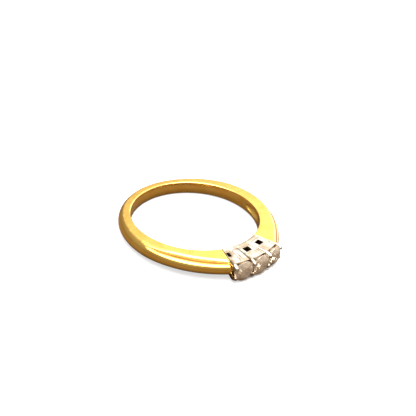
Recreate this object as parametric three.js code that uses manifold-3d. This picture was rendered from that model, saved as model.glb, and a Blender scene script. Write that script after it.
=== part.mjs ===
// A three-stone engagement ring, lying on its side: millimetres, +Z up.
// The finger axis is Z and the stones face -Y. A yellow gold shank and two fluted shoulders
// carry a white metal head: an under-bezel, three collets, eight claws and three diamonds.
import * as THREE from 'three';
import { mergeVertices } from 'three/addons/utils/BufferGeometryUtils.js';
import Module from 'manifold-3d';

const wasm = await Module();
wasm.setup();

// ---- driving dimensions ----
const BORE_RADIUS = 8.5;        // 17.0 mm finger size
const HALF_WIDTH = 0.93;        // from the mid-plane to a flat side face
const BORE_CHAMFER = 0.1;
const SOLDER_GAP = 0.03;        // the film of solder between two pieces

// Angles are in degrees round the finger from the middle stone, positive towards +X.
const STONE_PITCH = 12.5;
const HEAD_HALF_ANGLE = 1.5 * STONE_PITCH;
const SHANK_JOINT = 110;        // where the shoulders are soldered to the plain shank

// The side face ends at a crisp edge and the outer wall rises from there to a crest.
// Both grow towards the head and fade to their size at the back of the ring.
const FLAT_EDGE = { back: 9.6, growth: 1.43, fade: 18 };
const CREST = { back: 10.05, growth: 1.78, fade: 40 };
const LEAST_RISE = 0.08;        // from the edge to the crest

// The right-hand side of the ring was filed less, so its side faces are broader, most at one angle.
const BROAD_SIDE = { angle: 107, most: 0.76, nearHead: 0.5, fade: 38 };

// Along each shoulder a bevel runs down from the side face to a groove, with a rib between the two
// grooves. Sizes are from the mid-plane; angles are where the fluting starts and where it is full.
const GROOVE = { depth: 0.1, halfWidth: 0.05, nearHead: 0.7, atFull: 0.74, start: 78, full: 52 };
const BEVEL = { slope: 1.1, takenOffFace: 0.3, belowCrest: 0.04 };

// The back of each shoulder is hollowed from the finger side.
const HOLLOW = { angle: 68, radius: 8.25, along: 2.7, deep: 0.85, across: 0.6 };

const STONE = { radius: 1.3, girdle: 0.08, crown: 0.39, pavilion: 1.12, table: 0.7, sides: 16 };
const GIRDLE_RADIUS = 12.1;     // from the finger axis to the middle of the girdle

const UNDER_BEZEL_RADIUS = 9.05; // from the finger axis to its outside, where the collets stand
const COLLET = { top: 11.5, chamfer: 0.05, cavityAlong: 1.3, cavityAcross: 1.3 };

// Each collet is pierced by one window, cut by eye, so only the centre one is near the middle.
const WINDOW = { high: 0.8, middle: 9.8 };
const COLLETS = [
  { side: 'left', place: -1, windowAngle: -16.9, windowAlong: 0.45 },
  { side: 'centre', place: 0, windowAngle: -1.3, windowAlong: 0.95 },
  { side: 'right', place: 1, windowAngle: 12, windowAlong: 0.95 },
];

// The shared claws run up the whole side of the head; the end claws start beside the windows.
const CLAW = { radius: 0.24, bend: 11.9, tip: 12.28, footZ: 0.76, bendZ: 0.86, tipZ: 0.7 };
const CLAW_FOOT = { shared: 9.2, end: 10.5 };
const CLAW_STRAIGHT = 0.9;      // the share of the way to the bend that a claw stays straight
const END_CLAW_INSET = 0.6;     // degrees, from the end of the head to the end claws
const END_CLAW_LEAN = 0.55;     // degrees, by which an end claw's tip leans to its stone

// ---- how finely the curves are divided ----
const BAND_STEPS = { shank: 30, shoulder: 26 };
const RIB_HEIGHTS = [0.7, 0.35, 0];   // as shares of the groove's height
const HOLLOW_SIDES = { round: 20, high: 12 };
const ARC_STEPS = { underBezel: 9, collet: 3 };
const CLAW_STEPS = { along: 10, quarter: 5, tipRound: 10, tipHigh: 6 };
const THROUGH = 6;              // the length of a cutter that passes right through a piece

// ---- materials ----
const gold = new THREE.MeshStandardMaterial({ color: 0xe3b34a, metalness: 1, roughness: 0.25 });
const whiteMetal = new THREE.MeshStandardMaterial({ color: 0xe8e4da, metalness: 1, roughness: 0.2 });
const diamond = new THREE.MeshStandardMaterial({ color: 0xcbb39a, metalness: 0, roughness: 0.05 });

// ---- solids ----
function solid(geometry) {
  const bare = geometry.clone();
  bare.deleteAttribute('normal');
  bare.deleteAttribute('uv');
  const merged = mergeVertices(bare, 1e-4);
  return new wasm.Manifold(new wasm.Mesh({
    numProp: 3,
    vertProperties: merged.attributes.position.array,
    triVerts: new Uint32Array(merged.index.array),
  }));
}

function geometryOf(manifold) {
  const { vertProperties, triVerts } = manifold.getMesh();
  const geometry = new THREE.BufferGeometry();
  geometry.setAttribute('position', new THREE.BufferAttribute(vertProperties, 3));
  geometry.setIndex(new THREE.BufferAttribute(triVerts, 1));
  const flat = geometry.toNonIndexed();
  flat.computeVertexNormals();
  return flat;
}

function subtractAll(body, cutters) {
  return cutters.reduce((rest, cutter) => rest.subtract(cutter), body);
}

// ---- places round the ring, whose centre is the origin of the ring group ----
function around(angle, radius, z = 0) {
  const a = THREE.MathUtils.degToRad(angle);
  return new THREE.Vector3(radius * Math.sin(a), -radius * Math.cos(a), z);
}

// Turns a shape made for the middle stone's place to another angle.
function turned(geometry, angle) {
  return geometry.rotateZ(THREE.MathUtils.degToRad(angle));
}

// ---- shank and shoulders ----
// How far a place is from the middle stone, the short way round.
function fromStone(angle) {
  return 180 - Math.abs(180 - Math.abs(angle));
}

function grown({ back, growth, fade }, angle) {
  return back + growth * Math.exp(-(fromStone(angle) - HEAD_HALF_ANGLE) / fade);
}

function broadened(angle) {
  if (angle < 0) {
    return 0;
  }
  if (angle < BROAD_SIDE.angle) {
    const along = (angle - HEAD_HALF_ANGLE) / (BROAD_SIDE.angle - HEAD_HALF_ANGLE);
    return THREE.MathUtils.lerp(BROAD_SIDE.nearHead, BROAD_SIDE.most, along);
  }
  return BROAD_SIDE.most * Math.exp(-(((angle - BROAD_SIDE.angle) / BROAD_SIDE.fade) ** 2));
}

function flatEdge(angle) {
  return grown(FLAT_EDGE, angle) + broadened(angle);
}

function crestAt(angle) {
  return Math.max(grown(CREST, angle), flatEdge(angle) + LEAST_RISE);
}

// The radius at height z of an arc from a crest at the mid-plane to a shoulder point.
function arcRadius(crest, radiusAtEnd, endZ, z) {
  const rise = crest - radiusAtEnd;
  const arc = (endZ ** 2 + rise ** 2) / (2 * rise);
  return crest - arc + Math.sqrt(arc ** 2 - z ** 2);
}

// Half of the cross-section, from the bore to the crest, as [radius, z] with z above 0.
function halfSection(angle) {
  const away = fromStone(angle);
  const plainEdge = flatEdge(angle);
  const crest = crestAt(angle);
  const fluted = 1 - THREE.MathUtils.smoothstep(away, GROOVE.full, GROOVE.start);
  const edge = plainEdge - BEVEL.takenOffFace * fluted;
  const alongHead = (away - HEAD_HALF_ANGLE) / (GROOVE.full - HEAD_HALF_ANGLE);
  const groove = THREE.MathUtils.lerp(GROOVE.nearHead, GROOVE.atFull, Math.min(1, alongHead));
  const bevelFoot = plainEdge + BEVEL.slope * (HALF_WIDTH - groove);
  const bevelEnd = Math.min(bevelFoot, crest - BEVEL.belowCrest);
  const outer = (z) => {
    const plain = arcRadius(crest, edge, HALF_WIDTH, z);
    const bevel = THREE.MathUtils.mapLinear(z, HALF_WIDTH, groove, edge, bevelEnd);
    const rib = arcRadius(crest, bevelEnd, groove, Math.min(z, groove));
    return THREE.MathUtils.lerp(plain, z > groove ? bevel : rib, fluted);
  };
  const onWall = (z) => [outer(z), z];
  return [
    [BORE_RADIUS, HALF_WIDTH - BORE_CHAMFER],
    [BORE_RADIUS + BORE_CHAMFER, HALF_WIDTH],
    onWall(HALF_WIDTH),
    onWall((HALF_WIDTH + groove) / 2),
    onWall(groove + GROOVE.halfWidth),
    [outer(groove) - GROOVE.depth * fluted, groove],
    onWall(groove - GROOVE.halfWidth),
    ...RIB_HEIGHTS.map((share) => onWall(share * groove)),
  ];
}

function section(angle) {
  const upper = halfSection(angle);
  const lower = upper.slice(0, -1).map(([radius, z]) => [radius, -z]);
  return [...upper, ...lower.reverse()];
}

// A closed band whose cross-section changes with the angle.
function band(from, to, steps) {
  const positions = [];
  const index = [];
  const count = section(from).length;
  for (let step = 0; step <= steps; step += 1) {
    const angle = THREE.MathUtils.lerp(from, to, step / steps);
    for (const [radius, z] of section(angle)) {
      positions.push(...around(angle, radius, z).toArray());
    }
  }
  for (let step = 0; step < steps; step += 1) {
    for (let i = 0; i < count; i += 1) {
      const a = step * count + i;
      const b = step * count + (i + 1) % count;
      index.push(a, b, a + count);
      index.push(b, b + count, a + count);
    }
  }
  const capAt = (angle) => {
    const outline = section(angle).map(([radius, z]) => new THREE.Vector2(radius, z));
    return THREE.ShapeUtils.triangulateShape(outline, []);
  };
  for (const [a, b, c] of capAt(from)) {
    index.push(a, b, c);
  }
  for (const [a, b, c] of capAt(to)) {
    index.push(steps * count + c, steps * count + b, steps * count + a);
  }
  const geometry = new THREE.BufferGeometry();
  geometry.setAttribute('position', new THREE.Float32BufferAttribute(positions, 3));
  geometry.setIndex(index);
  return geometry;
}

// The angle that a gap takes up where two bands meet end to end.
const GAP_ANGLE = THREE.MathUtils.radToDeg(SOLDER_GAP / BORE_RADIUS);

function shank() {
  return solid(band(SHANK_JOINT + GAP_ANGLE, 360 - SHANK_JOINT - GAP_ANGLE, BAND_STEPS.shank));
}

function shoulder(side, cutters) {
  const ends = [side * (HEAD_HALF_ANGLE + GAP_ANGLE), side * SHANK_JOINT];
  ends.sort((a, b) => a - b);
  const hollow = new THREE.SphereGeometry(1, HOLLOW_SIDES.round, HOLLOW_SIDES.high);
  hollow.scale(HOLLOW.along, HOLLOW.deep, HOLLOW.across);
  hollow.translate(0, -HOLLOW.radius, 0);
  const cuts = [solid(turned(hollow, side * HOLLOW.angle)), ...cutters];
  return subtractAll(solid(band(...ends, BAND_STEPS.shoulder)), cuts);
}

// ---- stones ----
// The profile runs from the culet to the table, with the girdle's middle at height 0.
function stoneGeometry(clearance = 0) {
  const { radius, girdle, crown, pavilion, table, sides } = STONE;
  const half = girdle / 2;
  const profile = [
    new THREE.Vector2(0, -half - pavilion - clearance),
    new THREE.Vector2(radius + clearance, -half - clearance / 2),
    new THREE.Vector2(radius + clearance, half + clearance / 2),
    new THREE.Vector2(table + clearance, half + crown + clearance),
    new THREE.Vector2(0, half + crown + clearance),
  ];
  return new THREE.LatheGeometry(profile, sides);
}

// The lathe's axis is turned to point outwards from the finger.
function stoneCutter(angle) {
  const geometry = stoneGeometry(SOLDER_GAP).rotateZ(Math.PI).translate(0, -GIRDLE_RADIUS, 0);
  return solid(turned(geometry, angle));
}

// ---- head ----
// A block between two radii and two angles, as wide as the ring, with its side edges chamfered.
function sector(inner, outer, halfAngle, chamfer, curveSegments) {
  const half = THREE.MathUtils.degToRad(halfAngle);
  const [start, end] = [-half - Math.PI / 2, half - Math.PI / 2];
  const shape = new THREE.Shape();
  shape.absarc(0, 0, outer, start, end, false);
  shape.absarc(0, 0, inner, end, start, true);
  shape.closePath();
  const geometry = new THREE.ExtrudeGeometry(shape, {
    depth: 2 * (HALF_WIDTH - chamfer),
    curveSegments,
    bevelEnabled: chamfer > 0,
    bevelThickness: chamfer,
    bevelSize: chamfer,
    bevelOffset: -chamfer,
    bevelSegments: 1,
  });
  return geometry.translate(0, 0, chamfer - HALF_WIDTH);
}

// A plain curved plate that closes the collets from the finger side.
function underBezel() {
  const half = HEAD_HALF_ANGLE - GAP_ANGLE / 2;
  return solid(sector(BORE_RADIUS, UNDER_BEZEL_RADIUS, half, 0, ARC_STEPS.underBezel));
}

function collet({ place, windowAngle, windowAlong }, cutters) {
  const middle = place * STONE_PITCH;
  const half = STONE_PITCH / 2 - GAP_ANGLE / 2;
  const inner = UNDER_BEZEL_RADIUS + SOLDER_GAP;
  const block = sector(inner, COLLET.top, half, COLLET.chamfer, ARC_STEPS.collet);
  const cavity = new THREE.BoxGeometry(COLLET.cavityAlong, THROUGH, COLLET.cavityAcross);
  cavity.translate(0, -WINDOW.middle, 0);
  const window = new THREE.BoxGeometry(windowAlong, WINDOW.high, THROUGH);
  window.translate(0, -WINDOW.middle, 0);
  const cuts = [solid(turned(cavity, middle)), solid(turned(window, windowAngle))];
  return subtractAll(solid(turned(block, middle)), [...cuts, stoneCutter(middle), ...cutters]);
}

// A round wire up the side of the head, bent over the edge of its stones, with a rounded tip.
function clawWire(angle, level, clearance = 0) {
  const atEnd = Math.abs(angle) > STONE_PITCH;
  const lean = atEnd ? -Math.sign(angle) * END_CLAW_LEAN : 0;
  const footRadius = atEnd ? CLAW_FOOT.end : CLAW_FOOT.shared;
  const foot = around(angle, footRadius - clearance, level * CLAW.footZ);
  const bend = around(angle, CLAW.bend, level * CLAW.bendZ);
  const tip = around(angle + lean, CLAW.tip, level * CLAW.tipZ);
  const straightEnd = foot.clone().lerp(bend, CLAW_STRAIGHT);
  const path = new THREE.CurvePath();
  path.add(new THREE.LineCurve3(foot, straightEnd));
  path.add(new THREE.QuadraticBezierCurve3(straightEnd, bend, tip));
  const radius = CLAW.radius + clearance;
  const circle = new THREE.Path().absarc(0, 0, radius, 0, 2 * Math.PI);
  const outline = new THREE.Shape(circle.getPoints(CLAW_STEPS.quarter));
  const settings = { steps: CLAW_STEPS.along, extrudePath: path, bevelEnabled: false };
  const wire = solid(new THREE.ExtrudeGeometry(outline, settings));
  const cap = new THREE.SphereGeometry(radius, CLAW_STEPS.tipRound, CLAW_STEPS.tipHigh);
  return wire.add(solid(cap.translate(tip.x, tip.y, tip.z)));
}

// ---- the assembly ----
const claws = [];
for (const [name, place] of [['left_end', -3], ['left', -1], ['right', 1], ['right_end', 3]]) {
  const inset = Math.abs(place) === 3 ? Math.sign(place) * END_CLAW_INSET : 0;
  const angle = place * STONE_PITCH / 2 - inset;
  for (const [row, level] of [['upper', 1], ['lower', -1]]) {
    claws.push({ name: `claw_${name}_${row}`, angle, level });
  }
}
const clawCutters = claws.map(({ angle, level }) => clawWire(angle, level, SOLDER_GAP));
const stoneCutters = COLLETS.map(({ place }) => stoneCutter(place * STONE_PITCH));

const ring = new THREE.Group();

function addPiece(name, body, material) {
  const mesh = new THREE.Mesh(geometryOf(body), material);
  mesh.name = name;
  ring.add(mesh);
}

addPiece('shank', shank(), gold);
addPiece('shoulder_left', shoulder(-1, clawCutters), gold);
addPiece('shoulder_right', shoulder(1, clawCutters), gold);
addPiece('under_bezel', underBezel(), whiteMetal);
for (const sizes of COLLETS) {
  const { side, place } = sizes;
  addPiece(`collet_${side}`, collet(sizes, clawCutters), whiteMetal);
  const stone = new THREE.Mesh(stoneGeometry(), diamond);
  stone.name = `diamond_${side}`;
  stone.position.copy(around(place * STONE_PITCH, GIRDLE_RADIUS));
  stone.rotation.z = Math.PI + THREE.MathUtils.degToRad(place * STONE_PITCH);
  ring.add(stone);
}
for (const { name, angle, level } of claws) {
  addPiece(name, subtractAll(clawWire(angle, level), stoneCutters), whiteMetal);
}

// The origin is under the middle of the ring, on the surface that it lies on.
const middle = new THREE.Box3().setFromObject(ring, true).getCenter(new THREE.Vector3());
ring.position.set(-middle.x, -middle.y, STONE.radius);

const part = new THREE.Group();
part.add(ring);
export default part;
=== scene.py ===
"""The looks of the three-stone engagement ring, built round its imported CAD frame."""
import math

import bmesh
import bpy
from mathutils import Matrix, Vector


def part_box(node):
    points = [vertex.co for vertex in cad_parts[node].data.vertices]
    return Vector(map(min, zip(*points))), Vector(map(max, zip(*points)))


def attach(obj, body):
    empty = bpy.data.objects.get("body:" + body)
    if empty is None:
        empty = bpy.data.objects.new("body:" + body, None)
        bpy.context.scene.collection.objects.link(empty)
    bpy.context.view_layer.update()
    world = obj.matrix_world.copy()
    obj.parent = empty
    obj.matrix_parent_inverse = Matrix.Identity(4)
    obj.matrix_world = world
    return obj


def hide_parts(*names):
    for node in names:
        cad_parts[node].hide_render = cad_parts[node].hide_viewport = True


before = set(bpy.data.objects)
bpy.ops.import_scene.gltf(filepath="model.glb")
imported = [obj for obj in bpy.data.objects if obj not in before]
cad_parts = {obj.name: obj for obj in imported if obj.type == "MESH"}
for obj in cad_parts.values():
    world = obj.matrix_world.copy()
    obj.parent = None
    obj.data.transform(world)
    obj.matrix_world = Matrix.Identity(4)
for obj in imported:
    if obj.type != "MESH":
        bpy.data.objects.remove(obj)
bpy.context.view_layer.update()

MM = 0.001
PER_METRE = 1000
SHANK_LOW, SHANK_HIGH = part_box("shank")
STONE_LOW, STONE_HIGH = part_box("diamond_centre")

# ---- sizes, in millimetres, and in degrees round the finger from the middle stone ----
BORE = 8.5
HALF_WIDTH = PER_METRE * (SHANK_HIGH.z - SHANK_LOW.z) / 2
# Two radii: at the back of the ring, how much it grows to the head, and how slowly that fades.
FLAT_EDGE = (9.6, 1.43, 18)
CREST = (10.05, 1.78, 40)
LEAST_RISE = 0.08                   # from the edge of a side face to the crest
BROAD_SIDE = (107, 0.76, 0.5, 38)   # broader on the right: angle, most, near the head, fade
SHANK_JOINT = 110
STONE_PITCH = 12.5
HEAD_HALF = 1.5 * STONE_PITCH
GIRDLE_RADIUS = 12.1
STONE_RADIUS = 1.3


def lerp(a, b, t):
    return a + (b - a) * t


def clamp(x):
    return min(1, max(0, x))


def smooth(low, high, x):
    t = clamp((x - low) / (high - low))
    return t * t * (3 - 2 * t)


def from_stone(angle):
    """How far a place is from the middle stone, the short way round."""
    return 180 - abs(180 - abs(angle))


def grown(sizes, angle):
    back, growth, fade = sizes
    return back + growth * math.exp(-(from_stone(angle) - HEAD_HALF) / fade)


def broadened(angle):
    """How much broader a side face is than on the left."""
    widest, most, near_head, fade = BROAD_SIDE
    if angle < 0:
        return 0
    if angle < widest:
        return lerp(near_head, most, (angle - HEAD_HALF) / (widest - HEAD_HALF))
    return most * math.exp(-((angle - widest) / fade) ** 2)


def flat_edge(angle):
    return grown(FLAT_EDGE, angle) + broadened(angle)


def crest_at(angle):
    return max(grown(CREST, angle), flat_edge(angle) + LEAST_RISE)


# The finger axis, from the middle stone, the crest at the back of the ring and its mid-plane.
AXIS_X = PER_METRE * (STONE_LOW.x + STONE_HIGH.x) / 2
AXIS_Y = PER_METRE * SHANK_HIGH.y - crest_at(180)
MID_Z = PER_METRE * (SHANK_LOW.z + SHANK_HIGH.z) / 2
RING_CENTRE = Vector((AXIS_X, AXIS_Y, MID_Z)) * MM


def place(angle, radius, z):
    """A point round the ring, in metres in the row frame."""
    a = math.radians(angle)
    return RING_CENTRE + Vector((radius * math.sin(a), -radius * math.cos(a), z)) * MM


def rotation(degrees, axis):
    return Matrix.Rotation(math.radians(degrees), 4, axis)


# ---- nodes ----
MIX_A, MIX_B, MIX_RESULT = 6, 7, 2   # a colour mix node's sockets
# How fine the brushed lines are: across them, and along them for each radian.
BRUSHED_ACROSS, BRUSHED_ALONG = 26, 9
SCRATCH_TURNS = ((12, 25, 35), (70, -20, 100), (-35, 50, -20))
SCRATCH_STRETCH = (1.6, 36, 36)
SCRATCH_START, SCRATCH_FULL = 0.68, 0.74


class Nodes:
    """Short calls for a material's or world's node tree."""

    def __init__(self, tree):
        self.tree = tree
        tree.nodes.clear()

    def add(self, kind, **settings):
        node = self.tree.nodes.new(kind)
        for key, value in settings.items():
            setattr(node, key, value)
        return node

    def link(self, source, target):
        self.tree.links.new(source, target)

    def put(self, socket, value):
        if isinstance(value, bpy.types.NodeSocket):
            self.link(value, socket)
        else:
            socket.default_value = value

    def math(self, operation, *values):
        node = self.add("ShaderNodeMath", operation=operation)
        for socket, value in zip(node.inputs, values):
            self.put(socket, value)
        return node.outputs[0]

    def mix(self, factor, a, b, blend="MIX"):
        node = self.add("ShaderNodeMix", data_type="RGBA", blend_type=blend)
        self.put(node.inputs["Factor"], factor)
        self.put(node.inputs[MIX_A], a)
        self.put(node.inputs[MIX_B], b)
        return node.outputs[MIX_RESULT]

    def mix_shader(self, factor, one, two):
        node = self.add("ShaderNodeMixShader")
        for socket, source in zip(node.inputs, (factor, one, two)):
            self.link(source, socket)
        return node.outputs[0]

    def ramp(self, value, low, high, to_low=0.0, to_high=1.0, smoothly=True):
        node = self.add("ShaderNodeMapRange")
        node.interpolation_type = "SMOOTHSTEP" if smoothly else "LINEAR"
        for name, number in zip(
            ("Value", "From Min", "From Max", "To Min", "To Max"),
            (value, low, high, to_low, to_high),
        ):
            self.put(node.inputs[name], number)
        return node.outputs[0]

    def noise(self, vector, scale, detail=3.0, rough=0.5):
        node = self.add("ShaderNodeTexNoise")
        self.put(node.inputs["Vector"], vector)
        node.inputs["Scale"].default_value = scale
        node.inputs["Detail"].default_value = detail
        node.inputs["Roughness"].default_value = rough
        return node.outputs["Fac"]

    def millimetres(self):
        """The piece's own coordinates, in millimetres."""
        coordinates = self.add("ShaderNodeTexCoord")
        scale = self.add("ShaderNodeVectorMath", operation="SCALE")
        self.link(coordinates.outputs["Object"], scale.inputs[0])
        scale.inputs["Scale"].default_value = PER_METRE
        return scale.outputs[0]

    def turned(self, vector, degrees, scale):
        node = self.add("ShaderNodeMapping")
        self.put(node.inputs["Vector"], vector)
        node.inputs["Rotation"].default_value = [math.radians(d) for d in degrees]
        node.inputs["Scale"].default_value = scale
        return node.outputs[0]

    def split(self, vector):
        node = self.add("ShaderNodeSeparateXYZ")
        self.link(vector, node.inputs[0])
        return node.outputs

    def round_the_ring(self, vector):
        """Coordinates for lines brushed round the finger: across, along and up."""
        parts = self.split(vector)
        x = self.math("SUBTRACT", parts["X"], AXIS_X)
        y = self.math("SUBTRACT", parts["Y"], AXIS_Y)
        squares = [self.math("POWER", side, 2) for side in (x, y)]
        radius = self.math("SQRT", self.math("ADD", *squares))
        angle = self.math("ARCTAN2", x, y)
        joined = self.add("ShaderNodeCombineXYZ")
        self.link(self.math("MULTIPLY", radius, BRUSHED_ACROSS), joined.inputs[0])
        self.link(self.math("MULTIPLY", angle, BRUSHED_ALONG), joined.inputs[1])
        self.link(parts["Z"], joined.inputs[2])
        return joined.outputs[0]

    def scratches(self, vector):
        """Thin marks in three directions: 0 on clean metal, 1 in a scratch."""
        total = None
        for turn in SCRATCH_TURNS:
            stretched = self.turned(vector, turn, SCRATCH_STRETCH)
            noise = self.noise(stretched, scale=1.0, detail=2.0, rough=0.6)
            line = self.ramp(noise, SCRATCH_START, SCRATCH_FULL)
            total = line if total is None else self.math("MAXIMUM", total, line)
        return total

    def bump(self, height, distance, normal=None):
        node = self.add("ShaderNodeBump")
        self.put(node.inputs["Height"], height)
        node.inputs["Strength"].default_value = 1.0
        node.inputs["Distance"].default_value = distance
        if normal is not None:
            self.link(normal, node.inputs["Normal"])
        return node.outputs[0]


def new_material(name):
    material = bpy.data.materials.new(name)
    material.use_nodes = True
    nodes = Nodes(material.node_tree)
    shader = nodes.add("ShaderNodeBsdfPrincipled")
    output = nodes.add("ShaderNodeOutputMaterial")
    nodes.link(shader.outputs[0], output.inputs[0])
    return material, nodes, shader


# ---- materials ----
UPRIGHT_START, UPRIGHT_FULL = 0.90, 0.97   # how upright a side face's normal is
# How far rubbed edges are painted paler, a painted highlight, and grooves and hollows darker, dirt
# and painted shade.
RUBBED_AND_HIGHLIT_MOST, DIRT_AND_SHADE_MOST = 0.8, 0.93
DIRT_AND_SHADE_TINT = (0.20, 0.13, 0.09)             # the dirt and painted shade are the metal's deep colour times this
SMEAR_ROUGH, SCRATCH_ROUGH, RUBBED_SHINE = 0.10, 0.10, 0.05
# How high the bumps are, in metres.
RIPPLE, EMERY, BRUSHED, SCRATCH, CASTING = 4e-6, 2.2e-6, 1.2e-6, 8e-7, 1.5e-5
DIAMOND_IOR, DIAMOND_CLEAR = 2.417, 0.68


def metal(name, fresh, deep, rubbed_highlight_colour, drift, polish, satin, waviness):
    """Polished metal with drifting colour, rubbed edges painted paler as a highlight, dirt and
    painted shade in the grooves and hollows, and fine scratches.

    The flat side faces are duller than the rest, with fine lines brushed round the ring. The mesh
    says by its "relief" where it is rubbed and given a painted highlight, up to 1, and where it
    holds dirt and painted shade, down to -1.
    """
    material, nodes, shader = new_material(name)
    at = nodes.millimetres()
    patches = nodes.noise(at, scale=drift, detail=4.0)
    colour = nodes.mix(nodes.ramp(patches, low=0.38, high=0.62), fresh, deep)
    relief_at = nodes.add("ShaderNodeAttribute", attribute_name="relief").outputs["Fac"]
    # Rubbed edges are painted paler, a painted highlight; grooves and hollows are painted darker,
    # dirt and painted shade.
    rubbed_and_highlit = nodes.ramp(relief_at, low=0.1, high=1.0, to_high=RUBBED_AND_HIGHLIT_MOST)
    dirt = nodes.ramp(relief_at, low=-0.85, high=-0.1, to_low=DIRT_AND_SHADE_MOST, to_high=0.0)
    dirty = [part * tint for part, tint in zip(deep, DIRT_AND_SHADE_TINT)] + [1]
    colour = nodes.mix(dirt, colour, dirty)
    colour = nodes.mix(rubbed_and_highlit, colour, rubbed_highlight_colour)
    nodes.link(colour, shader.inputs["Base Color"])
    shader.inputs["Metallic"].default_value = 1.0

    normal_z = nodes.split(nodes.add("ShaderNodeNewGeometry").outputs["Normal"])["Z"]
    side = nodes.ramp(nodes.math("ABSOLUTE", normal_z), UPRIGHT_START, UPRIGHT_FULL)
    marks = nodes.scratches(at)
    smears = nodes.noise(at, scale=1.6, detail=5.0, rough=0.6)
    rough = nodes.ramp(smears, low=0.3, high=0.75, to_low=polish, to_high=polish + SMEAR_ROUGH)
    for operation, amount, most in (("ADD", marks, SCRATCH_ROUGH), ("ADD", side, satin),
                                    ("SUBTRACT", rubbed_and_highlit, RUBBED_SHINE)):
        rough = nodes.math(operation, rough, nodes.math("MULTIPLY", amount, most))
    nodes.link(rough, shader.inputs["Roughness"])

    waves = nodes.noise(at, scale=0.35, detail=2.0)
    normal = nodes.bump(nodes.math("MULTIPLY", side, waves), waviness)
    normal = nodes.bump(nodes.noise(at, scale=1.1, detail=2.0), RIPPLE, normal)
    emery = nodes.noise(at, scale=13.0, rough=0.6)
    normal = nodes.bump(nodes.math("MULTIPLY", side, emery), EMERY, normal)
    brushed = nodes.noise(nodes.round_the_ring(at), scale=1.0, rough=0.6)
    normal = nodes.bump(nodes.math("MULTIPLY", side, brushed), BRUSHED, normal)
    normal = nodes.bump(nodes.math("SUBTRACT", 1.0, marks), SCRATCH, normal)
    nodes.link(normal, shader.inputs["Normal"])
    return material


def inside_material():
    """The unpolished inside of the collets: dull casting skin with polishing dirt, both painted
    very dark as painted shade.
    """
    material, nodes, shader = new_material("casting_skin_painted_shade")
    at = nodes.millimetres()
    dirt = nodes.ramp(nodes.noise(at, scale=2.6, detail=5.0, rough=0.65), low=0.40, high=0.70)
    # Both colours are painted dark: painted shade inside the collets.
    shaded_casting, shaded_polishing_dirt = [0.16, 0.10, 0.06, 1], [0.030, 0.018, 0.010, 1]
    nodes.link(nodes.mix(dirt, shaded_casting, shaded_polishing_dirt), shader.inputs["Base Color"])
    rough = nodes.ramp(dirt, low=0.0, high=1.0, to_low=0.42, to_high=0.75)
    nodes.link(rough, shader.inputs["Roughness"])
    shader.inputs["Metallic"].default_value = 0.8
    grain = nodes.noise(at, scale=9.0, detail=4.0, rough=0.7)
    nodes.link(nodes.bump(grain, CASTING), shader.inputs["Normal"])
    return material


def diamond_material():
    """Diamond with a warm, slightly greasy look: soft tan lights instead of sharp black ones."""
    material, nodes, shader = new_material("diamond")
    at = nodes.millimetres()
    cloud = nodes.ramp(nodes.noise(at, scale=1.5, detail=5.0, rough=0.65), low=0.40, high=0.70)
    pale, tan = [1.0, 0.83, 0.62, 1], [0.88, 0.64, 0.42, 1]
    nodes.link(nodes.mix(cloud, pale, tan), shader.inputs["Base Color"])
    smears = nodes.noise(at, scale=2.2, detail=4.0)
    grease = nodes.ramp(smears, low=0.35, high=0.8, to_low=0.01, to_high=0.08)
    nodes.link(grease, shader.inputs["Roughness"])
    shader.inputs["IOR"].default_value = DIAMOND_IOR
    shader.inputs["Transmission Weight"].default_value = DIAMOND_CLEAR
    return material


# Where the card doesn't glow: millimetres from the floor's own origin, which is under the head.
GLOW_CENTRE = (0, -1, 0)
GLOW_START, GLOW_FULL, GLOW = 2.2, 4.5, 0.66
TABLE_COLOUR = (0.10, 0.075, 0.055, 1)


def floor_material():
    """White card to the camera; a tan table to everything that the metal and the stones mirror.

    The card glows further from the head, which makes the ring's shadow fainter there.
    """
    material, nodes, shader = new_material("studio_floor")
    at = nodes.millimetres()
    paper = nodes.mix(nodes.noise(at, scale=0.08, detail=4.0),
                      [0.92, 0.92, 0.91, 1], [0.96, 0.96, 0.95, 1])
    nodes.link(paper, shader.inputs["Base Color"])
    shader.inputs["Roughness"].default_value = 0.9
    glow = nodes.add("ShaderNodeEmission").outputs[0]
    from_head = nodes.add("ShaderNodeVectorMath", operation="DISTANCE")
    nodes.link(at, from_head.inputs[0])
    from_head.inputs[1].default_value = GLOW_CENTRE
    glowing = nodes.ramp(from_head.outputs["Value"], GLOW_START, GLOW_FULL, to_high=GLOW)
    card = nodes.mix_shader(glowing, shader.outputs[0], glow)
    table = nodes.add("ShaderNodeBsdfDiffuse")
    table.inputs["Color"].default_value = TABLE_COLOUR
    seen = nodes.add("ShaderNodeLightPath").outputs["Is Camera Ray"]
    output = next(n for n in nodes.tree.nodes if n.type == "OUTPUT_MATERIAL")
    nodes.link(nodes.mix_shader(seen, table.outputs[0], card), output.inputs[0])
    return material


# The third colour of each metal is painted on rubbed edges as a painted highlight.
GOLD = metal("yellow_gold", [0.95, 0.60, 0.14, 1], [0.91, 0.54, 0.11, 1], [1.0, 0.74, 0.28, 1],
             drift=0.45, polish=0.11, satin=0.12, waviness=3.5e-5)
WHITE = metal("white_metal", [0.80, 0.75, 0.66, 1], [0.50, 0.38, 0.26, 1], [0.95, 0.93, 0.89, 1],
              drift=0.8, polish=0.10, satin=0.06, waviness=9e-5)
INSIDE = inside_material()
DIAMOND = diamond_material()


# ---- meshes ----
def new_object(name, data):
    made = bpy.data.objects.new(name, data)
    bpy.context.scene.collection.objects.link(made)
    return made


def mesh_object(name, bm, *materials):
    mesh = bpy.data.meshes.new(name)
    bm.to_mesh(mesh)
    bm.free()
    for material in materials:
        mesh.materials.append(material)
    return new_object(name, mesh)


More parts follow.
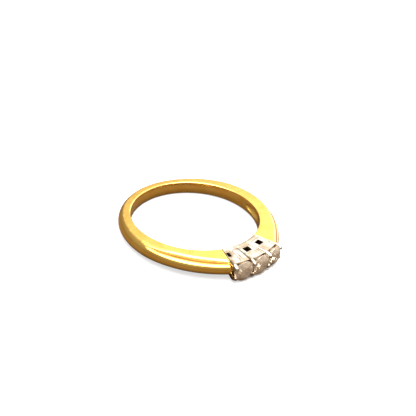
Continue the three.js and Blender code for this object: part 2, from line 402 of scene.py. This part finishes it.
def finish_piece(name, bm, material, nodes, sharp=32):
    """Makes the object, with edges sharper than the given angle kept crisp."""
    bmesh.ops.remove_doubles(bm, verts=bm.verts, dist=1e-8)
    bmesh.ops.recalc_face_normals(bm, faces=bm.faces)
    for face in bm.faces:
        face.smooth = True
    for edge in bm.edges:
        if len(edge.link_faces) == 2 and edge.calc_face_angle() > math.radians(sharp):
            edge.smooth = False
    piece = mesh_object(name, bm, material)
    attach(piece, "root")
    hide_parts(*nodes)
    return piece


def skin(rings, reliefs=None):
    """A closed body through rings of points, with its two ends filled.

    The relief, where it is given, is one number for each point: 1 is rubbed, with a painted
    highlight, -1 holds dirt and painted shade.
    """
    bm = bmesh.new()
    layer = bm.verts.layers.float.new("relief")
    rows = [[bm.verts.new(point) for point in ring] for ring in rings]
    for row, amounts in zip(rows, reliefs or []):
        for vert, amount in zip(row, amounts):
            vert[layer] = amount
    for one, two in zip(rows, rows[1:]):
        for i in range(len(one)):
            j = (i + 1) % len(one)
            bm.faces.new((one[i], one[j], two[j], two[i]))
    bm.faces.new(rows[0])
    bm.faces.new(rows[-1])
    return bm


# ---- shank and shoulders ----
# Where, coming from the back, the bevels with the rib between them begin, and where they are full.
FLUTE_START, FLUTE_FULL = 78, 52
GROOVE_START, GROOVE_FULL = 79, 64
# How far the grooves are from the mid-plane, next to the head and where the bevels are full.
GROOVE_NEAR_HEAD, GROOVE_AT_FULL = 0.70, 0.74
GROOVE_DEPTH, GROOVE_WIDTH = 0.18, 0.08
BEVEL_SLOPE, BEVEL_OFF_FACE, BEVEL_BELOW_CREST = 1.1, 0.3, 0.04
# The hollow on the finger side of a shoulder.
HOLLOW_ANGLE, HOLLOW_SPAN, HOLLOW_ACROSS, HOLLOW_DEPTH = 67, 15.8, 0.57, 0.5
HOLLOW_CURVE = 0.7
EDGE_ROUND = 0.06
# The rim of the bore is worn rounder, and the bore opens more towards it, away from the head.
BORE_ROUND, BORE_ROUND_WORN = 0.06, 0.15
COURT, COURT_WORN = 0.01, 0.14
COURT_CURVE = 2.2
WEAR_START, WEAR_FULL = 70, 130
# Plain worn punch dimples, with no lettering: angle and height of each, and the size of all.
MARKS = ((94, -0.1), (90, 0.3), (89.5, -0.42), (85.5, -0.38), (85, 0.2))
MARK_ALONG, MARK_ACROSS, MARK_DEPTH = 0.9, 0.14, 0.07
# The rounded end next to the head: along the band, at which radius, down, and in how many steps.
END_ROUND, END_RADIUS, END_DROP, END_STEPS = 0.26, 10, 0.07, 5
END_ANGLE = math.degrees(END_ROUND / END_RADIUS)
# How the rounded end curves, and how far it is rubbed and painted with a highlight.
END_CURVE, END_RUBBED_AND_HIGHLIT = 1.3, 0.5
# Relief: from which depth the hollow is dirty and painted in shade, and how fast that grows; then
# where the rim of the bore and the edges of the side faces are rubbed and painted with a
# highlight.
HOLLOW_LEAST, HOLLOW_DIRT_AND_SHADE = 0.03, 8
RIM_START, RIM_RUBBED_AND_HIGHLIT = 0.8, 0.6
EDGE_REACH, EDGE_START, EDGE_FULL, EDGE_LEAST = 0.05, 0.85, 0.95, 0.1
# Points of half a section: bore, rim, side face, its edge, and the outer side.
BORE_POINTS, RIM_POINTS, FACE_POINTS, EDGE_POINTS, OUTER_POINTS = 16, 6, 5, 4, 44
SHANK_STEPS, SHOULDER_STEPS = 150, 190


def arc_radius(crest, at_end, end_z, z):
    """The radius at z of an arc with its crest at the mid-plane, which ends at end_z."""
    rise = crest - at_end
    arc = (end_z ** 2 + rise ** 2) / (2 * rise)
    return crest - arc + math.sqrt(arc ** 2 - z ** 2)


def fluted(angle):
    """1 where the bevels and the rib are full, 0 where the band is plain."""
    return 1 - smooth(FLUTE_FULL, FLUTE_START, from_stone(angle))


def face_edge(angle):
    """Where a side face ends, less what the bevel takes off it."""
    return flat_edge(angle) - BEVEL_OFF_FACE * fluted(angle)


def groove_height(angle):
    along = (from_stone(angle) - HEAD_HALF) / (FLUTE_FULL - HEAD_HALF)
    return lerp(GROOVE_NEAR_HEAD, GROOVE_AT_FULL, clamp(along))


def in_groove(angle, z):
    """1 at the bottom of a full groove, 0 away from it."""
    cut = 1 - smooth(GROOVE_FULL, GROOVE_START, from_stone(angle))
    return cut * math.exp(-((abs(z) - groove_height(angle)) / GROOVE_WIDTH) ** 2)


def outer_wall(angle, z):
    z = min(abs(z), HALF_WIDTH)
    edge, crest = face_edge(angle), crest_at(angle)
    groove = groove_height(angle)
    plain = arc_radius(crest, edge, HALF_WIDTH, z)
    bevel_end = min(flat_edge(angle) + BEVEL_SLOPE * (HALF_WIDTH - groove),
                    crest - BEVEL_BELOW_CREST)
    bevel = lerp(edge, bevel_end, (HALF_WIDTH - z) / (HALF_WIDTH - groove))
    rib = arc_radius(crest, bevel_end, groove, min(z, groove))
    full = bevel if z > groove else rib
    return lerp(plain, full, fluted(angle)) - GROOVE_DEPTH * in_groove(angle, z)


def worn(angle, fresh, full):
    return lerp(fresh, full, smooth(WEAR_START, WEAR_FULL, from_stone(angle)))


def bore_rim(angle):
    return BORE + worn(angle, COURT, COURT_WORN)


def bore_wall(angle, z):
    radius = lerp(BORE, bore_rim(angle), abs(z / HALF_WIDTH) ** COURT_CURVE)
    q = ((from_stone(angle) - HOLLOW_ANGLE) / HOLLOW_SPAN) ** 2 + (z / HOLLOW_ACROSS) ** 2
    if q < 1:
        radius += HOLLOW_DEPTH * (1 - q) ** HOLLOW_CURVE
    for mark_angle, mark_z in MARKS:
        d = ((angle - mark_angle) / MARK_ALONG) ** 2 + ((z - mark_z) / MARK_ACROSS) ** 2
        radius += MARK_DEPTH * math.exp(-d)
    return radius


def quadratic(a, b, c, count):
    """Points on the curve from a towards c that bends at b, without its last point."""
    found = []
    for i in range(count):
        t = i / count
        found.append([(1 - t) ** 2 * p + 2 * t * (1 - t) * q + t * t * r
                      for p, q, r in zip(a, b, c)])
    return found


def half_profile(angle):
    """From the bore at the mid-plane, over the upper side, to the crest."""
    top = HALF_WIDTH
    rounding = worn(angle, BORE_ROUND, BORE_ROUND_WORN)
    rim, edge = bore_rim(angle), face_edge(angle)
    face_start, face_end = rim + rounding, edge - EDGE_ROUND
    start, below = top - rounding, top - EDGE_ROUND
    heights = [start * i / BORE_POINTS for i in range(BORE_POINTS)]
    points = [[bore_wall(angle, z), z] for z in heights]
    points += quadratic([bore_wall(angle, start), start], [rim, top], [face_start, top],
                        RIM_POINTS)
    points += [[lerp(face_start, face_end, i / FACE_POINTS), top] for i in range(FACE_POINTS)]
    points += quadratic([face_end, top], [edge, top], [outer_wall(angle, below), below],
                        EDGE_POINTS)
    heights = [below * (1 - i / OUTER_POINTS) for i in range(OUTER_POINTS + 1)]
    points += [[outer_wall(angle, z), z] for z in heights]
    return points


def outline_at(angle):
    upper = half_profile(angle)
    return upper + [[radius, -z] for radius, z in reversed(upper[1:-1])]


def relief(angle, radius, z):
    """Rubbed and painted with a highlight along the edges of the side faces and the bore, dirty
    and painted in shade in the grooves and hollows.
    """
    rim = bore_rim(angle)
    if radius < rim + worn(angle, BORE_ROUND, BORE_ROUND_WORN):
        hollowed = bore_wall(angle, z) - rim
        if hollowed > HOLLOW_LEAST:
            return -min(1, hollowed * HOLLOW_DIRT_AND_SHADE)
        return smooth(RIM_START, 1, abs(z) / HALF_WIDTH) * RIM_RUBBED_AND_HIGHLIT
    on_edge = math.exp(-((radius - face_edge(angle)) / EDGE_REACH) ** 2)
    on_edge *= smooth(EDGE_START, EDGE_FULL, abs(z))
    return on_edge if on_edge > EDGE_LEAST else -in_groove(angle, z)


def gold_section(angle, inset):
    """The whole outline, pulled in by the inset where an end is rounded over."""
    crest = crest_at(angle)
    middle, half = (BORE + crest) / 2, (crest - BORE) / 2
    return [place(angle, middle + (radius - middle) * (1 - inset / half),
                  z * (1 - inset / HALF_WIDTH))
            for radius, z in outline_at(angle)]


def gold_band(name, start, end, steps, rounded_end):
    """A stretch of the band. The end next to the head has a rounded, polished rim, painted paler
    as a highlight.
    """
    angles = [lerp(start, end, i / steps) for i in range(steps + 1)]
    rings = [gold_section(angle, 0) for angle in angles]
    reliefs = [[relief(angle, radius, z) for radius, z in outline_at(angle)]
               for angle in angles]
    if rounded_end:
        for i in range(1, END_STEPS + 1):
            t = i / END_STEPS
            angle = end + math.copysign(END_ANGLE * t, end - start)
            rings.append(gold_section(angle, END_DROP * t ** END_CURVE))
            reliefs.append([END_RUBBED_AND_HIGHLIT * t] * len(rings[0]))
    finish_piece(name, skin(rings, reliefs), GOLD, [name], sharp=50)


def make_gold():
    gold_band("shank", SHANK_JOINT, 360 - SHANK_JOINT, SHANK_STEPS, False)
    near_head = HEAD_HALF + END_ANGLE
    gold_band("shoulder_right", SHANK_JOINT, near_head, SHOULDER_STEPS, True)
    gold_band("shoulder_left", -SHANK_JOINT, -near_head, SHOULDER_STEPS, True)


# ---- head ----
UNDER_BEZEL_TOP = 9.05
UNDER_BEZEL_STEPS, COLLET_STEPS = 24, 6
COLLET_TOP, COLLET_GAP = 11.5, 0.08
CAVITY, CAVITY_HIGH, CAVITY_CORNER = 1.3, 5, 0.35
WINDOW_HIGH, WINDOW_MIDDLE = 0.8, 9.8
THROUGH = 4                        # long enough to cut both side walls
# Each collet: side, which stone, and the angle and width of its window.
COLLETS = (("left", -1, -16.9, 0.45), ("centre", 0, -1.3, 0.95), ("right", 1, 12, 0.95))
# The stone's seat is a cone, a little wider than the stone.
SEAT_LOW, SEAT_HIGH, SEAT_POINT, SEAT_ROOM = 10.9, 12.2, 0.05, 0.05
SEAT_SIDES = 40
WALL_OUTSIDE = 0.12                # a wall's polished outside reaches this far in
EDGE_BEVEL, EDGE_SEGMENTS, EDGE_ANGLE = 0.022, 3, 30
CORNER_SEGMENTS, ALONG_RADIUS = 4, 0.9
# Lines cut in the side faces: which collet, angle, from and to which radius, and width.
LINES = (("left", -10.6, 9.5, 10.6, 0.13), ("left", -12.6, 9.3, 11.2, 0.06),
         ("centre", 3.9, 9.0, 11.4, 0.09), ("right", 17.9, 9.3, 11.4, 0.07))
LINE_DEPTH = 0.16                  # the cutter's, half of it above the face


def sector(inner, outer, start, end, steps):
    """A block between two radii and two angles, as wide as the ring."""
    rings = []
    for i in range(steps + 1):
        angle = lerp(start, end, i / steps)
        rings.append([place(angle, inner, -HALF_WIDTH), place(angle, outer, -HALF_WIDTH),
                      place(angle, outer, HALF_WIDTH), place(angle, inner, HALF_WIDTH)])
    return skin(rings)


def temporary(bm, name="cutter"):
    bmesh.ops.recalc_face_normals(bm, faces=bm.faces)
    return mesh_object(name, bm)


def block(angle, radius, along, high, across, corner=0.0):
    """A box round a point of the ring, with its edges along the radius rounded."""
    bm = bmesh.new()
    bmesh.ops.create_cube(bm, size=1)
    bmesh.ops.scale(bm, vec=Vector((along, high, across)) * MM, verts=bm.verts)
    if corner:
        edges = [e for e in bm.edges
                 if abs((e.verts[0].co - e.verts[1].co).normalized().y) > ALONG_RADIUS]
        bmesh.ops.bevel(bm, geom=edges, offset=corner * MM, segments=CORNER_SEGMENTS,
                        profile=0.5, affect="EDGES")
    move = Matrix.Translation(place(angle, radius, 0)) @ rotation(angle, "Z")
    bmesh.ops.transform(bm, matrix=move, verts=bm.verts)
    return bm


def cone(angle, start, end, radius_start, radius_end):
    rings = []
    a = math.radians(angle)
    along = Vector((math.cos(a), math.sin(a), 0))
    for radius, size in ((start, radius_start), (end, radius_end)):
        ring = []
        for i in range(SEAT_SIDES):
            t = 2 * math.pi * i / SEAT_SIDES
            ring.append(place(angle, radius, size * math.sin(t))
                        + along * size * math.cos(t) * MM)
        rings.append(ring)
    return skin(rings)


def carve(body, cutters):
    """The body less the cutters, with its edges softly rounded.

    The rounding is clamped where edges are very short. It comes out smaller on the right collet,
    and as nothing on the middle one, whose edges stay sharp.
    """
    for cutter in cutters:
        cut = body.modifiers.new("cut", "BOOLEAN")
        cut.operation = "DIFFERENCE"
        cut.solver = "EXACT"
        cut.object = cutter
    bevel = body.modifiers.new("bevel", "BEVEL")
    bevel.width = EDGE_BEVEL * MM
    bevel.segments = EDGE_SEGMENTS
    bevel.limit_method = "ANGLE"
    bevel.angle_limit = math.radians(EDGE_ANGLE)
    bevel.use_clamp_overlap = True
    bpy.context.view_layer.update()
    shown = body.evaluated_get(bpy.context.evaluated_depsgraph_get())
    bm = bmesh.new()
    bm.from_mesh(shown.to_mesh())
    for made in [body, *cutters]:
        bpy.data.objects.remove(made)
    return bm


def engraved(angle, start, end, width, level):
    """The cutter of one line in the upper face, or in the lower one where the level is -1."""
    bm = block(angle, (start + end) / 2, width, end - start, LINE_DEPTH)
    bmesh.ops.translate(bm, vec=Vector((0, 0, level * HALF_WIDTH)) * MM, verts=bm.verts)
    return bm


def make_collet(side, stone, window_angle, window_along):
    middle = stone * STONE_PITCH
    half = STONE_PITCH / 2 - COLLET_GAP
    body = temporary(sector(UNDER_BEZEL_TOP, COLLET_TOP, middle - half, middle + half,
                            COLLET_STEPS), "body")
    cavity = temporary(block(middle, WINDOW_MIDDLE, CAVITY, CAVITY_HIGH, CAVITY,
                             CAVITY_CORNER))
    lines = [temporary(engraved(angle, start, end, width, level))
             for line_side, angle, start, end, width in LINES if line_side == side
             for level in (1, -1)]
    window = temporary(block(window_angle, WINDOW_MIDDLE, window_along, WINDOW_HIGH, THROUGH))
    seat = temporary(cone(middle, SEAT_LOW, SEAT_HIGH, SEAT_POINT, STONE_RADIUS + SEAT_ROOM))
    bm = carve(body, [cavity, window, seat, *lines])
    name = f"collet_{side}"
    made = finish_piece(name, bm, WHITE, [name])
    made.data.materials.append(INSIDE)
    # The faces inside the collet take the dark inside material: painted shade.
    for face in made.data.polygons:
        away = (face.center - RING_CENTRE) / MM
        radius = math.hypot(away.x, away.y)
        if abs(away.z) < HALF_WIDTH - WALL_OUTSIDE and UNDER_BEZEL_TOP < radius < SEAT_LOW:
            face.material_index = 1


def make_under_bezel():
    body = temporary(sector(BORE, UNDER_BEZEL_TOP, -HEAD_HALF, HEAD_HALF, UNDER_BEZEL_STEPS),
                     "body")
    finish_piece("under_bezel", carve(body, []), WHITE, ["under_bezel"])


# ---- claws ----
# Where the wire bends and where it ends: the radius, and how far from the mid-plane.
CLAW_BEND, CLAW_TIP = (11.95, 0.87), (12.28, 0.68)
CLAW_FOOT_Z = 0.76
SHARED_FOOT, END_FOOT = 9.15, 10.9
CLAW_RADIUS, CLAW_LEAN, CLAW_INSET = 0.24, 0.55, 0.6
SHIN = 0.88                        # how much of the way to the bend is straight
SHIN_STEPS, BEND_STEPS, TIP_STEPS, WIRE_SIDES = 10, 14, 8, 24
TIP_REACH, TIP_LEAST = 0.92, 0.002


def claw_path(angle, level, lean):
    """Points along the wire, and its radius at each of them."""
    foot = place(angle, END_FOOT if lean else SHARED_FOOT, level * CLAW_FOOT_Z)
    bend = place(angle, CLAW_BEND[0], level * CLAW_BEND[1])
    tip = place(angle + lean, CLAW_TIP[0], level * CLAW_TIP[1])
    shin = foot.lerp(bend, SHIN)
    path = [foot.lerp(shin, i / SHIN_STEPS) for i in range(SHIN_STEPS)]
    path += [Vector(p) for p in quadratic(shin, bend, tip, BEND_STEPS)] + [tip]
    sizes = [CLAW_RADIUS] * len(path)
    ahead = (path[-1] - path[-2]).normalized()
    for i in range(1, TIP_STEPS + 1):
        t = i / TIP_STEPS
        path.append(tip + ahead * CLAW_RADIUS * TIP_REACH * MM * math.sin(t * math.pi / 2))
        sizes.append(max(TIP_LEAST, CLAW_RADIUS * math.cos(t * math.pi / 2)))
    return path, sizes


def make_claw(name, angle, level, lean):
    """A round wire up the side of the head, bent over the stones, with a rounded tip."""
    path, sizes = claw_path(angle, level, lean)
    rings = []
    side = place(angle + 1, 10, 0) - place(angle, 10, 0)   # the way round the ring
    for i, (point, size) in enumerate(zip(path, sizes)):
        forward = (path[min(i + 1, len(path) - 1)] - path[max(i - 1, 0)]).normalized()
        across = (side - forward * side.dot(forward)).normalized()
        up = forward.cross(across)
        ring = []
        for k in range(WIRE_SIDES):
            t = 2 * math.pi * k / WIRE_SIDES
            ring.append(point + (across * math.cos(t) + up * math.sin(t)) * size * MM)
        rings.append(ring)
    finish_piece(name, skin(rings), WHITE, [name], sharp=60)


def make_claws():
    half = STONE_PITCH / 2
    end = 3 * half - CLAW_INSET
    for name, angle, lean in (("left_end", -end, CLAW_LEAN), ("left", -half, 0),
                              ("right", half, 0), ("right_end", end, -CLAW_LEAN)):
        for row, level in (("upper", 1), ("lower", -1)):
            make_claw(f"claw_{name}_{row}", angle, level, lean)


# ---- stones ----
GIRDLE, CROWN, PAVILION, TABLE = 0.04, 0.39, 1.12, 0.7
GIRDLE_SIDES = 64
STAR_TILT, UPPER_EXTRA, LOWER_EXTRA = 20, 5, 2.2   # degrees
HALF_FACET_REACH = 0.985
SAME_FACET = 0.4                   # degrees
FIRST_TWIST, NEXT_TWIST = 9, 14    # degrees: each stone is set a little differently


def cut_away(bm, point, normal):
    """Grinds one facet: what lies beyond the plane goes and the cut is closed."""
    geometry = bm.verts[:] + bm.edges[:] + bm.faces[:]
    cut = bmesh.ops.bisect_plane(bm, geom=geometry, dist=1e-9, plane_co=point,
                                 plane_no=normal, clear_outer=True)
    edges = [e for e in cut["geom_cut"] if isinstance(e, bmesh.types.BMEdge)]
    if edges:
        bmesh.ops.contextual_create(bm, geom=edges)


def brilliant():
    """A round brilliant with its table towards +Z and the middle of its girdle at the origin."""
    bm = bmesh.new()
    bmesh.ops.create_cone(bm, cap_ends=True, segments=GIRDLE_SIDES, radius1=STONE_RADIUS,
                          radius2=STONE_RADIUS, depth=2 * (CROWN + PAVILION + GIRDLE))
    top, bottom = GIRDLE + CROWN, -GIRDLE
    cut_away(bm, Vector((0, 0, top)), Vector((0, 0, 1)))
    main = math.atan2(CROWN, STONE_RADIUS - TABLE)
    deep = math.atan2(PAVILION, STONE_RADIUS)

    def facets(count, turn, tilt, reach, height, side):
        for i in range(count):
            phi = 2 * math.pi * (i + turn) / count
            out = Vector((math.cos(phi), math.sin(phi), 0))
            normal = out * math.sin(tilt) + Vector((0, 0, side * math.cos(tilt)))
            cut_away(bm, out * reach + Vector((0, 0, height)), normal)

    half_reach = STONE_RADIUS * HALF_FACET_REACH
    facets(8, 0, main, STONE_RADIUS, GIRDLE, 1)
    facets(8, 0.5, math.radians(STAR_TILT), TABLE * math.cos(math.pi / 8), top, 1)
    facets(16, 0.5, main + math.radians(UPPER_EXTRA), half_reach, GIRDLE, 1)
    facets(8, 0, deep, STONE_RADIUS, bottom, -1)
    facets(16, 0.5, deep + math.radians(LOWER_EXTRA), half_reach, bottom, -1)
    bmesh.ops.dissolve_limit(bm, angle_limit=math.radians(SAME_FACET), verts=bm.verts,
                             edges=bm.edges)
    return bm


def make_stones():
    for side, k in (("left", -1), ("centre", 0), ("right", 1)):
        bm = brilliant()
        angle = k * STONE_PITCH
        bmesh.ops.scale(bm, vec=(MM, MM, MM), verts=bm.verts)
        turn = rotation(angle, "Z") @ rotation(90, "X")
        twist = rotation(FIRST_TWIST + NEXT_TWIST * k, "Z")
        move = Matrix.Translation(place(angle, GIRDLE_RADIUS, 0)) @ turn @ twist
        bmesh.ops.transform(bm, matrix=move, verts=bm.verts)
        name = f"diamond_{side}"
        finish_piece(name, bm, DIAMOND, [name], sharp=1)


# ---- studio ----
FLOOR_SIZE, FLOOR_SQUARES = 1.2, 8
FLOOR_CLEARANCE = 1e-5             # metres below the stones


def make_floor():
    """A pale sheet that touches the stones at the front and the shank at the back."""
    front = place(0, GIRDLE_RADIUS, 0).y
    slope = math.atan2(SHANK_LOW.z - STONE_LOW.z, SHANK_HIGH.y - front)
    bm = bmesh.new()
    bmesh.ops.create_grid(bm, x_segments=FLOOR_SQUARES, y_segments=FLOOR_SQUARES,
                          size=FLOOR_SIZE)
    floor = mesh_object("floor", bm, floor_material())
    floor.rotation_euler.x = slope
    floor.location = (0, front, STONE_LOW.z - FLOOR_CLEARANCE)


def direction(azimuth, elevation):
    a, e = math.radians(azimuth), math.radians(elevation)
    return Vector((math.sin(a) * math.cos(e), -math.cos(a) * math.cos(e), math.sin(e)))


CAMERA_AZIMUTH, CAMERA_ELEVATION, CAMERA_ROLL = -42.5, 31.73, 5.3
CAMERA_DISTANCE = 60            # millimetres, from the middle of the finger hole
AIM_RIGHT, AIM_UP = 1.66, 1.37  # millimetres from there to the middle of the picture
LENS, SENSOR = 38.69, 36        # millimetres
CLIP_START = 0.001              # metres


def make_camera():
    back = direction(CAMERA_AZIMUTH, CAMERA_ELEVATION)
    azimuth = math.radians(CAMERA_AZIMUTH)
    level = Vector((math.cos(azimuth), math.sin(azimuth), 0))
    right = Matrix.Rotation(math.radians(CAMERA_ROLL), 3, back) @ level
    up = back.cross(right)
    location = RING_CENTRE + back * CAMERA_DISTANCE * MM
    aim = RING_CENTRE + (right * AIM_RIGHT + up * AIM_UP) * MM
    away = (location - aim).normalized()
    right = (right - away * right.dot(away)).normalized()
    up = away.cross(right)
    turn = Matrix((right, up, away)).transposed().to_4x4()
    camera = new_object("camera", bpy.data.cameras.new("camera"))
    camera.matrix_world = Matrix.Translation(location) @ turn
    camera.data.lens = LENS
    camera.data.sensor_width = SENSOR
    camera.data.clip_start = CLIP_START
    bpy.context.scene.camera = camera


# Each soft box: azimuth from the camera, elevation, where its fade starts and ends, strength.
SOFT_BOXES = (
    (150, 50, 8, 44, 1.6),
    (-40, 86, 19, 37, 8.5),
    (150, 14, 5, 18, 2.6),
    (110, 25, 12, 40, 0.4),
)
# The room behind them, from straight down to straight up: height, and the colour seen there.
ROOM = (
    (-1.00, (0.20, 0.15, 0.11)),
    (-0.10, (0.22, 0.18, 0.14)),
    (0.10, (0.33, 0.29, 0.24)),
    (0.45, (0.45, 0.42, 0.38)),
    (1.00, (0.60, 0.59, 0.57)),
)


def make_world():
    """A light tent: soft boxes in a warm grey room, over a darker floor. The camera sees white."""
    world = bpy.data.worlds.new("studio")
    bpy.context.scene.world = world
    world.use_nodes = True
    nodes = Nodes(world.node_tree)
    toward = nodes.add("ShaderNodeTexCoord").outputs["Generated"]
    height = nodes.split(toward)["Z"]
    room = nodes.add("ShaderNodeValToRGB")
    nodes.link(nodes.ramp(height, low=-1, high=1, smoothly=False), room.inputs[0])
    stops = room.color_ramp.elements
    while len(stops) < len(ROOM):
        stops.new(0.5)
    for stop, (height, colour) in zip(stops, ROOM):
        stop.position = (height + 1) / 2
        stop.color = (*colour, 1)
    total = 0.0
    for azimuth, elevation, inner, outer, strength in SOFT_BOXES:
        dot = nodes.add("ShaderNodeVectorMath", operation="DOT_PRODUCT")
        nodes.link(toward, dot.inputs[0])
        dot.inputs[1].default_value = direction(CAMERA_AZIMUTH + azimuth, elevation)
        lobe = nodes.ramp(dot.outputs["Value"], math.cos(math.radians(outer)),
                          math.cos(math.radians(inner)), to_high=strength)
        total = nodes.math("ADD", total, lobe)
    tent = nodes.add("ShaderNodeBackground")
    nodes.link(nodes.mix(1.0, room.outputs["Color"], total, blend="ADD"), tent.inputs["Color"])
    plain = nodes.add("ShaderNodeBackground")
    plain.inputs["Color"].default_value = (1, 1, 1, 1)
    seen = nodes.add("ShaderNodeLightPath").outputs["Is Camera Ray"]
    output = nodes.add("ShaderNodeOutputWorld")
    nodes.link(nodes.mix_shader(seen, tent.outputs[0], plain.outputs[0]), output.inputs[0])


LAMP_AZIMUTH, LAMP_ELEVATION = 170, 46   # degrees, the first of them from the camera
LAMP_DISTANCE, LAMP_SIZE = 0.3, 0.10     # metres
LAMP_ENERGY = 1.4                        # watts


def make_lamp():
    """A large lamp above and behind, for the soft shadow on the floor."""
    lamp = bpy.data.lights.new("key", "AREA")
    lamp.size = LAMP_SIZE
    lamp.energy = LAMP_ENERGY
    key = new_object("key", lamp)
    toward = direction(CAMERA_AZIMUTH + LAMP_AZIMUTH, LAMP_ELEVATION)
    key.visible_glossy = False
    key.location = RING_CENTRE + toward * LAMP_DISTANCE
    key.rotation_mode = "QUATERNION"
    key.rotation_quaternion = toward.to_track_quat("Z", "Y")


make_camera()
make_gold()
make_under_bezel()
for sizes in COLLETS:
    make_collet(*sizes)
make_claws()
make_stones()
make_floor()
make_world()
make_lamp()
bpy.context.scene.view_settings.view_transform = "Standard"
